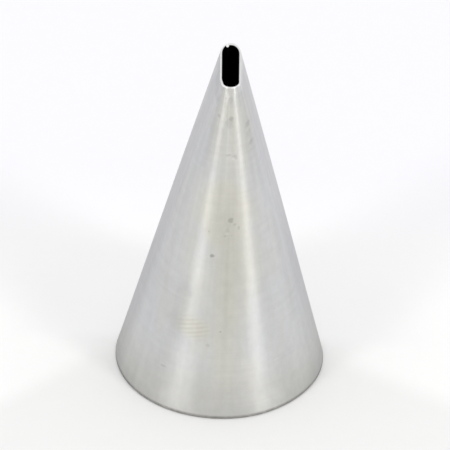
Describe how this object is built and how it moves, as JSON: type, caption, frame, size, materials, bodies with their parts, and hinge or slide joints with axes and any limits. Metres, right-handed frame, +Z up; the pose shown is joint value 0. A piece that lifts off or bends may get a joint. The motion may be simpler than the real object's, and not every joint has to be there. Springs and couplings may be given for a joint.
{
  "type": "piping nozzle",
  "caption": "Thin metal icing nozzle: a round-based cone pressed to a long, narrow slot mouth for piping flat ribbons.",
  "frame": {"origin": "centre of the base circle, in the plane that the base rim stands on", "axes": "+Z up the nozzle from the base rim to the mouth; the mouth is long along Y; the plain front faces -Y and the seam is at the back, on +Y"},
  "size_m": [0.018, 0.018, 0.0311],
  "materials": {
    "steel": "satin, finely brushed round the cone",
    "solder": "dull, slightly darker than the sheet"
  },
  "bodies": {
    "root": {"cone_wall": "steel", "seam_solder": "solder"}
  },
  "joints": []
}
